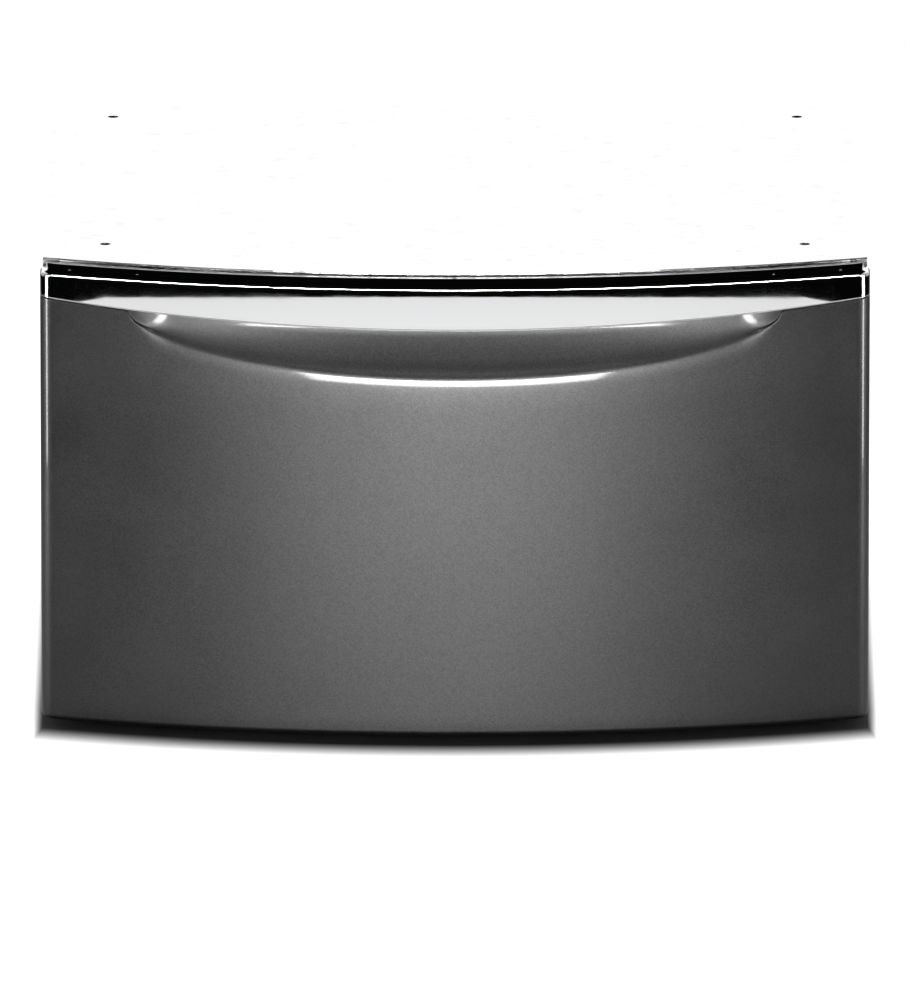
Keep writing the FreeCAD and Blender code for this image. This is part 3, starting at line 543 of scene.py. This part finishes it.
def front_profile():
    """Inset and height of the whole sheet: the lower flange, a quarter circle for the roll, the
    flat face in even steps, and the upper sections."""
    turn = np.linspace(0, math.pi / 2, 12)
    face = np.linspace(0, 1, 26)[1:-1, None]
    face_start = panel_low.z + ROLL
    inset = np.vstack([level(FLANGE_INSETS), level(ROLL * (1 - np.sin(turn))), level(0 * face),
                       upper_inset])
    height = np.vstack([level([panel_low.z] * 2), level(panel_low.z + ROLL * (1 - np.cos(turn))),
                        face_start + face * (upper_height[0] - face_start), upper_height])
    return inset, height


def top_flange(near, rows=10):
    """Flat strip that closes the top of the front: its near edge is the sheet's top edge and its
    far edge is straight, and a row is a share of the way between them."""
    near = near[np.abs(near[:, 0]) < HALF_WIDTH - STEP_DEPTH - 0.1 * MM]
    share = np.linspace(0, 1, rows)[:, None]
    y = near[:, 1] * (1 - share) + RETURN_Y * share
    return np.dstack([near[:, 0] + 0 * y, y, np.full_like(y, PANEL_TOP)])


panel_grid = carried(*front_profile())
flange_grid = top_flange(panel_grid[-1])
panel = mesh_object("painted_front",
                    np.vstack([panel_grid.reshape(-1, 3), flange_grid.reshape(-1, 3)]),
                    quads_of(panel_grid) + quads_of(flange_grid, first=panel_grid[..., 0].size))
thick = panel.modifiers.new("sheet", "SOLIDIFY")
thick.thickness = SHEET
thick.offset = -1.0
thick.use_even_offset = True
print(f"painted front: {len(panel.data.polygons)} faces before its thickness")
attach(panel, "drawer")
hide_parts("drawer_front_panel")

# %% [markdown]
# The chrome trim is one closed cross-section carried round the same outline: a small round lip
# at the bottom, an upright wall, a rounded top edge, and a gently domed top that runs back over
# the front. Only the lip and the lower part of the wall change height along the way. The bright
# line in the chrome lies on the rounded edge, so that edge has many rows.

# %% Cross-section of the trim
LIP_RADIUS = 1.2 * MM
WALL_LEVEL, ROUND_START = 372.2 * MM, 383.7 * MM
EDGE_RADIUS, EDGE_TURN = 4.2 * MM, 1.47
REAR_INSET, REAR_RADIUS = 28.6 * MM, 1.4 * MM
# inside of the trim from the rear edge down: (inset, height)
INNER_SIDE = np.array([(30, 386.8), (28.2, 386.8), (28.2, 388.6), (16, 387.8), (6, 386.9),
                       (3.4, 386.0), (2.4, 383.0)]) * MM


def trim_profile():
    """Closed cross-section, from the inner side of the lip and once round: half a circle, the
    wall in even steps, an arc of EDGE_TURN radians, a quarter sine wave back along the top, a
    quarter circle at the rear, and the inner side."""
    foot = trim_edge(outline[:, 0]) + LIP_RADIUS
    lip = np.linspace(math.pi, 0, 11)
    wall = np.linspace(0, 1, 22)[1:, None]
    upper_wall = np.linspace(WALL_LEVEL, ROUND_START, 10)[1:]
    turn = np.linspace(0, EDGE_TURN, 16)[1:]
    round_inset = EDGE_RADIUS * (1 - np.cos(turn))
    round_height = ROUND_START + EDGE_RADIUS * np.sin(turn)
    back = np.linspace(0, 1, 9)[1:]
    rear = np.linspace(0, math.pi / 2, 6)[1:]
    fall = np.linspace(0, 1, 10)[1:-1, None]
    inner_inset, inner_height = INNER_SIDE.T
    stretches = [
        (level(LIP_RADIUS * (1 - np.cos(lip))), foot - level(LIP_RADIUS * np.sin(lip))),
        (level(0 * wall), foot + wall * (WALL_LEVEL - foot)),
        (level(0 * upper_wall), level(upper_wall)),
        (level(round_inset), level(round_height)),
        (level(round_inset[-1] + back * (REAR_INSET - round_inset[-1])),
         level(round_height[-1] + (TRIM_TOP - round_height[-1]) * np.sin(back * math.pi / 2))),
        (level(REAR_INSET + REAR_RADIUS * np.sin(rear)),
         level(TRIM_TOP - REAR_RADIUS * (1 - np.cos(rear)))),
        (level(inner_inset), level(inner_height)),
        (level(0 * fall + inner_inset[-1]), inner_height[-1] + fall * (foot - inner_height[-1]))]
    return tuple(np.vstack(column) for column in zip(*stretches))


trim_inset, trim_height = trim_profile()
print(f"cross-section of {len(trim_inset)} points")

# %% [markdown]
# Carried straight inwards, the deep top of the trim would fold over itself at the corners. So
# its rear follows a line of its own, which is the bow moved straight back, and the columns of the
# corners close up towards it like the slats of a fan.

# %% Chrome trim
REAR_NARROW, REAR_TUCK, TUCK_FADE = 0.985, 1.5 * MM, 30 * MM


def rear_line():
    """The bow moved straight back by the trim's depth, one point per column. It is a little
    narrower than the front, and never lies behind the ends of the outline."""
    x = np.clip(outline[:, 0] * REAR_NARROW, -HALF_WIDTH + EDGE, HALF_WIDTH - EDGE)
    x = x - np.sign(x) * REAR_TUCK * smooth_step((RETURN_Y - outline[:, 1]) / TUCK_FADE)
    y = BOW_CENTRE_Y - np.sqrt(BOW_RADIUS ** 2 - x ** 2) + TRIM_DEPTH
    return np.column_stack([x, np.minimum(y, RETURN_Y)])


trim_grid = carried(trim_inset, trim_height, rear=rear_line())
trim = mesh_object("chrome_trim", trim_grid.reshape(-1, 3),
                   quads_of(trim_grid, closed_rows=True, caps=True))
print(f"trim: {len(trim.data.polygons)} faces, top at {TRIM_TOP:.4f}")
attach(trim, "drawer")
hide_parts("handle_trim")

# %% [markdown]
# Polished metal mirrors every lamp. The front box would show in the trim as a second bright line,
# and in a studio a black flag is held between such a lamp and the metal. Light linking is
# Blender's flag: the front box lights everything except the trim.

# %% Flag between the front box and the trim
flagged = bpy.data.collections.new("kept_from_front_box")
flagged.objects.link(trim)
flagged.collection_objects[0].light_linking.link_state = "EXCLUDE"
front_box.light_linking.receiver_collection = flagged

# %% [markdown]
# Finishes. Some effects are wanted in several materials, so each is made once as a node group:
# metal flakes in lacquer, faint handling smudges, the crystal spangle of galvanised sheet, drawn
# grain, and the pebbled skin of moulded parts. A group only gives colours, roughness and normals;
# the shader stays in the material itself. All patterns read Object coordinates, so they sit fast
# on their piece when it moves.

# %% Helpers for shared effects
DARK, BRIGHT = ("Dark", "Color", grey(0.02)), ("Bright", "Color", grey(0.1))
SMOOTH, DULL = ("Smooth", "Float", 0.2), ("Dull", "Float", 0.5)


def new_group(name, inputs, outputs):
    """Node group with named sockets. inputs are (name, kind, value) and outputs (name, kind).
    Returns the group, its input sockets, its output node and its Object coordinates."""
    group = bpy.data.node_groups.new(name, "ShaderNodeTree")
    for socket, kind, value in inputs:
        made = group.interface.new_socket(socket, in_out="INPUT", socket_type="NodeSocket" + kind)
        made.default_value = value
    for socket, kind in outputs:
        group.interface.new_socket(socket, in_out="OUTPUT", socket_type="NodeSocket" + kind)
    given = group.nodes.new("NodeGroupInput").outputs
    coords = place(group, "TexCoord").outputs["Object"]
    return group, given, group.nodes.new("NodeGroupOutput"), coords


def bumped(tree, strength, height, distance):
    """Normal tilted by a height pattern."""
    return place(tree, "Bump", Strength=strength, Height=height, Distance=distance).outputs[0]


SURFACE = [("Color", "Color"), ("Roughness", "Float"), ("Normal", "Vector")]
print("outputs of a surface group:", [name for name, _ in SURFACE])

# %% [markdown]
# Metallic lacquer carries flakes of aluminium in a clear coat. Each flake is one Voronoi cell
# with a brightness and a slight tilt of its own. Real flakes are finer than these, but at this
# distance single flakes are only seen as a fine grain, and a broad noise adds the drift of spray.

# %% Lacquer flakes


def flake_group():
    """Shade is the cell's own random value plus a quarter of a broad noise."""
    group, given, out, coords = new_group("lacquer_flakes", [
        DARK, BRIGHT, ("Scale", "Float", 1600.0), ("Tilt", "Float", 0.08)],
        [("Color", "Color"), ("Normal", "Vector")])
    cells = place(group, "TexVoronoi", Vector=coords, Scale=given["Scale"]).outputs["Color"]
    shade, tilt, _ = place(group, "SeparateColor", Color=cells).outputs
    drift = place(group, "TexNoise", Vector=coords, Scale=9.0, Detail=3.0).outputs["Fac"]
    factor = maths(group, "MULTIPLY_ADD", drift, 0.25, shade)
    wire(group, out, Color=mix_colours(group, factor, given["Dark"], given["Bright"]),
         Normal=bumped(group, given["Tilt"], tilt, 0.2 * MM))
    return group


GROUPS = {"flakes": flake_group()}
print("groups:", sorted(GROUPS))

# %% [markdown]
# Hands and cloths leave broad, faint changes of gloss on lacquer and chrome. They show only in
# reflections, so the group gives nothing but roughness.

# %% Handling smudges


def smudge_group():
    """A warped noise spread between the two roughness values."""
    group, given, out, coords = new_group("handling_smudge", [
        SMOOTH, DULL, ("Scale", "Float", 14.0)], [("Roughness", "Float")])
    noise = place(group, "TexNoise", Vector=coords, Scale=given["Scale"], Detail=5.0,
                  Roughness=0.62, Distortion=0.6).outputs["Fac"]
    spread = place(group, "MapRange", Value=noise, From_Min=0.35, From_Max=0.75,
                   To_Min=given["Smooth"], To_Max=given["Dull"])
    wire(group, out, Roughness=spread.outputs[0])
    return group


GROUPS["smudge"] = smudge_group()
print("groups:", sorted(GROUPS))

# %% [markdown]
# Hot dipped zinc freezes into crystals about a centimetre across, which reflect light each in
# their own direction. Voronoi cells have straight borders, so a noise pushes the coordinates
# about first, and the borders come out feathered like real ones.

# %% Zinc spangle
FEATHERING = (12 * MM,) * 3


def spangle_group():
    """Cells of pushed coordinates; one random value each for colour, roughness and height."""
    group, given, out, coords = new_group("zinc_spangle", [
        DARK, BRIGHT, ("Scale", "Float", 95.0), ("Relief", "Float", 0.1), SMOOTH, DULL], SURFACE)
    warp = place(group, "TexNoise", Vector=coords, Scale=60.0, Detail=4.0).outputs["Color"]
    pushed = group.nodes.new("ShaderNodeVectorMath")
    pushed.operation = "MULTIPLY_ADD"
    pushed.inputs[1].default_value = FEATHERING
    group.links.new(warp, pushed.inputs[0])
    group.links.new(coords, pushed.inputs[2])
    cells = place(group, "TexVoronoi", Vector=pushed.outputs[0], Scale=given["Scale"])
    shade, gloss, rise = place(group, "SeparateColor", Color=cells.outputs["Color"]).outputs
    rough = place(group, "MapRange", Value=gloss, To_Min=given["Smooth"], To_Max=given["Dull"])
    wire(group, out, Color=mix_colours(group, shade, given["Dark"], given["Bright"]),
         Roughness=rough.outputs[0], Normal=bumped(group, given["Relief"], rise, 0.3 * MM))
    return group


GROUPS["spangle"] = spangle_group()
print("groups:", sorted(GROUPS))

# %% [markdown]
# The slides are rolled from strip and carry fine lines along their length. A noise stretched
# along Y gives such lines. Moulded rubber and plastic have an even pebbled skin instead, which is
# the same noise left unstretched, so one function makes both groups.

# %% Drawn grain and moulded skin


def noise_skin(name, scale_name, stretch, detail, gloss, distance):
    """One noise drives colour, roughness and height. stretch scales the coordinates, detail is
    (octaves, their strength), and gloss is (noise from, noise to, roughness from, roughness to)."""
    group, given, out, coords = new_group(name, [
        DARK, BRIGHT, (scale_name, "Float", 900.0), ("Depth", "Float", 0.15)], SURFACE)
    squeezed = place(group, "Mapping", Vector=coords, Scale=stretch).outputs[0]
    noise = place(group, "TexNoise", Vector=squeezed, Scale=given[scale_name], Detail=detail[0],
                  Roughness=detail[1]).outputs["Fac"]
    rough = place(group, "MapRange", Value=noise, From_Min=gloss[0], From_Max=gloss[1],
                  To_Min=gloss[2], To_Max=gloss[3])
    wire(group, out, Color=mix_colours(group, noise, given["Dark"], given["Bright"]),
         Roughness=rough.outputs[0], Normal=bumped(group, given["Depth"], noise, distance))
    return group


GROUPS["grain"] = noise_skin("drawn_grain", "Fineness", (1.0, 0.02, 1.0), (4.0, 0.7),
                             (0.3, 0.7, 0.24, 0.42), 0.1 * MM)
GROUPS["moulded"] = noise_skin("moulded_grain", "Scale", (1.0, 1.0, 1.0), (2.0, 0.5),
                               (0.0, 1.0, 0.5, 0.8), 0.2 * MM)
print("groups:", sorted(GROUPS))

# %% [markdown]
# Each material places the groups it needs with its own values. The numbers that are the same
# all over, such as the clear coat, are set on the shader itself. Lacquer and chrome are written
# out, and the other finishes differ only in their group and their numbers.

# %% Kinds of material


def add_group(tree, shader, key, **values):
    """Puts a shared effect into a material and wires each output to the shader's own socket."""
    node = tree.nodes.new("ShaderNodeGroup")
    node.node_tree = GROUPS[key]
    wire(tree, node, **values)
    for output in node.outputs:
        target = "Base Color" if output.name == "Color" else output.name
        tree.links.new(output, shader.inputs[target])


def lacquer(name, dark, bright, coat_roughness):
    """Dark metallic paint under a thin clear coat."""
    material, tree, shader = new_material(name, Metallic=1.0, Coat_Weight=0.3, Coat_IOR=1.5,
                                          IOR=1.5, Coat_Roughness=coat_roughness)
    add_group(tree, shader, "flakes", Dark=dark, Bright=bright, Scale=1500.0, Tilt=0.10)
    add_group(tree, shader, "smudge", Smooth=0.42, Dull=0.48)
    return material


def chrome(name):
    """Polished chrome plate, faintly uneven in gloss."""
    material, tree, shader = new_material(name, Base_Color=(0.88, 0.885, 0.89, 1), Metallic=1.0)
    add_group(tree, shader, "smudge", Smooth=0.008, Dull=0.024, Scale=11.0)
    return material


def finish(name, key, metallic, **values):
    """Material whose colour, roughness and normal all come from one shared effect."""
    material, tree, shader = new_material(name, Metallic=metallic)
    add_group(tree, shader, key, **values)
    return material


print("kinds: lacquer, chrome, finish")

# %% [markdown]
# The deck is bright new sheet, the drawer box is plainer, and the rails and brackets are dull.
# Slides, balls and fasteners share the drawn grain from coarse to fine. Every slot of the packed
# record has one material here, and each part takes the one that its row names.

# %% Materials
MATERIALS = {
    # front and sides are one real paint: the front copy is painted darker to offset the front box,
    # a painted shade, and the side copy lighter for views from the side
    "front_paint": lacquer("front_lacquer_painted_darker", grey(0.018), grey(0.030), 0.08),
    "side_paint": lacquer("side_lacquer_painted_lighter", grey(0.035), grey(0.085), 0.16),
    "trim_chrome": chrome("polished_chrome"),
    "deck_galvanised": finish("bright_galvanised", "spangle", 1.0, Dark=grey(0.88, 0.01),
                              Bright=grey(0.96, 0.01), Scale=120.0, Relief=0.03,
                              Smooth=0.14, Dull=0.22),
    "drawer_galvanised": finish("drawer_galvanised", "spangle", 1.0, Dark=grey(0.56, 0.015),
                                Bright=grey(0.76, 0.015), Scale=95.0, Relief=0.08,
                                Smooth=0.3, Dull=0.5),
    "frame_galvanised": finish("frame_galvanised", "spangle", 1.0, Dark=grey(0.45, 0.015),
                               Bright=grey(0.62, 0.015), Scale=80.0, Relief=0.1,
                               Smooth=0.3, Dull=0.5),
    "slide_zinc": finish("drawn_zinc", "grain", 1.0, Dark=grey(0.52, 0.02),
                         Bright=grey(0.74, 0.02), Fineness=900.0),
    "bearing_steel": finish("bearing_steel", "grain", 1.0, Dark=grey(0.62), Bright=grey(0.72),
                            Fineness=300.0),
    "fastener_zinc": finish("fastener_zinc", "grain", 1.0, Dark=grey(0.48, 0.01),
                            Bright=grey(0.66, 0.01), Fineness=1500.0),
    "lever_plastic": finish("lever_plastic", "moulded", 0.0, Dark=grey(0.02),
                            Bright=grey(0.045), Scale=1300.0, Depth=0.25),
    "foot_rubber": finish("foot_rubber", "moulded", 0.0, Dark=grey(0.018), Bright=grey(0.04),
                          Scale=900.0, Depth=0.4),
}


def dress(item, material):
    """Gives an object this one material."""
    item.data.materials.clear()
    item.data.materials.append(material)


for row in frame["record"]["subparts"]:
    dress(nodes[row["node"]], MATERIALS[row["material_slot"]])
dress(panel, MATERIALS["front_paint"])
dress(trim, MATERIALS["trim_chrome"])
print("materials:", len(MATERIALS))
